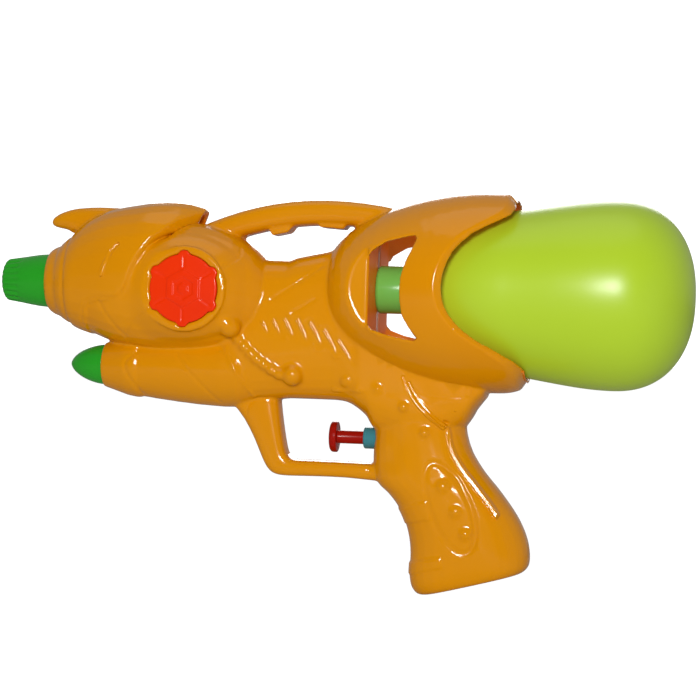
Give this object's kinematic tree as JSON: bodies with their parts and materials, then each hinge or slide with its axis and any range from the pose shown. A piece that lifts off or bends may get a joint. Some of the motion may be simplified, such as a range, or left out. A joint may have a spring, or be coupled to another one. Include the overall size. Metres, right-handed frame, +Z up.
{
  "type": "water squirter",
  "caption": "Toy water squirter with two moulded halves, push-back pump trigger in a guard, carry handle, twist nozzle and a screw-in bottle tank in a windowed shroud.",
  "frame": {"origin": "centre of the nozzle mouth, on the barrel axis", "axes": "+X back along the barrel and tank axis, +Z up, -Y the left side"},
  "size_m": [0.3212, 0.0888, 0.1835],
  "materials": {
    "orange_shell": "glossy moulded plastic",
    "green_nozzle": "glossy moulded plastic",
    "green_cap": "glossy moulded plastic",
    "lime_tank": "satin blow-moulded plastic",
    "red_badge": "glossy moulded plastic",
    "red_trigger": "glossy moulded plastic",
    "blue_gland": "moulded plastic",
    "white_plastic": "moulded plastic",
    "clear_hose": "soft translucent hose",
    "black_rubber": "rubber",
    "steel": "plain steel"
  },
  "bodies": {
    "body": {"left_shell": "orange_shell", "right_shell": "orange_shell", "jet_tube": "white_plastic", "nozzle_seal": "black_rubber", "lower_tip": "green_nozzle", "left_badge": "red_badge", "right_badge": "red_badge", "tank_cap": "green_cap", "pickup_tube": "clear_hose", "intake_hose": "clear_hose", "outlet_hose": "clear_hose", "pump_body": "white_plastic", "pump_gland": "blue_gland", "return_spring": "steel", "hose_elbows": "white_plastic", "shell_screws": "steel"},
    "nozzle": {"nozzle": "green_nozzle"},
    "trigger": {"trigger": "red_trigger", "piston_seal": "black_rubber"},
    "neck_seal": {"neck_seal": "black_rubber"},
    "tank": {"tank": "lime_tank"},
    "inlet_ball": {"inlet_ball": "steel"},
    "outlet_ball": {"outlet_ball": "steel"}
  },
  "joints": [
    {"name": "nozzle_twist", "type": "hinge", "parent": "body", "child": "nozzle", "pos_m": [0, 0, 0], "axis": [1, 0, 0], "range_deg": [0, 180]},
    {"name": "trigger_push", "type": "slide", "parent": "body", "child": "trigger", "axis": [1, 0, 0], "range_m": [0, 0.011], "stiffness_N_per_m": 250, "springref_m": -0.012, "deforming": ["return_spring"]},
    {"name": "tank_travel", "type": "slide", "parent": "body", "child": "neck_seal", "axis": [1, 0, 0], "range_m": [0, 0.0061]},
    {"name": "tank_turn", "type": "hinge", "parent": "neck_seal", "child": "tank", "pos_m": [0.25, 0, 0], "axis": [1, 0, 0], "range_deg": [0, 720]},
    {"name": "inlet_check", "type": "slide", "parent": "body", "child": "inlet_ball", "axis": [0, 0, 1], "range_m": [0, 0.0011]},
    {"name": "outlet_check", "type": "slide", "parent": "body", "child": "outlet_ball", "axis": [0, 0, 1], "range_m": [0, 0.0011]}
  ],
  "couplings": [
    {"joint": "tank_travel", "follows": "tank_turn", "m_per_rad": 0.00047746}
  ]
}
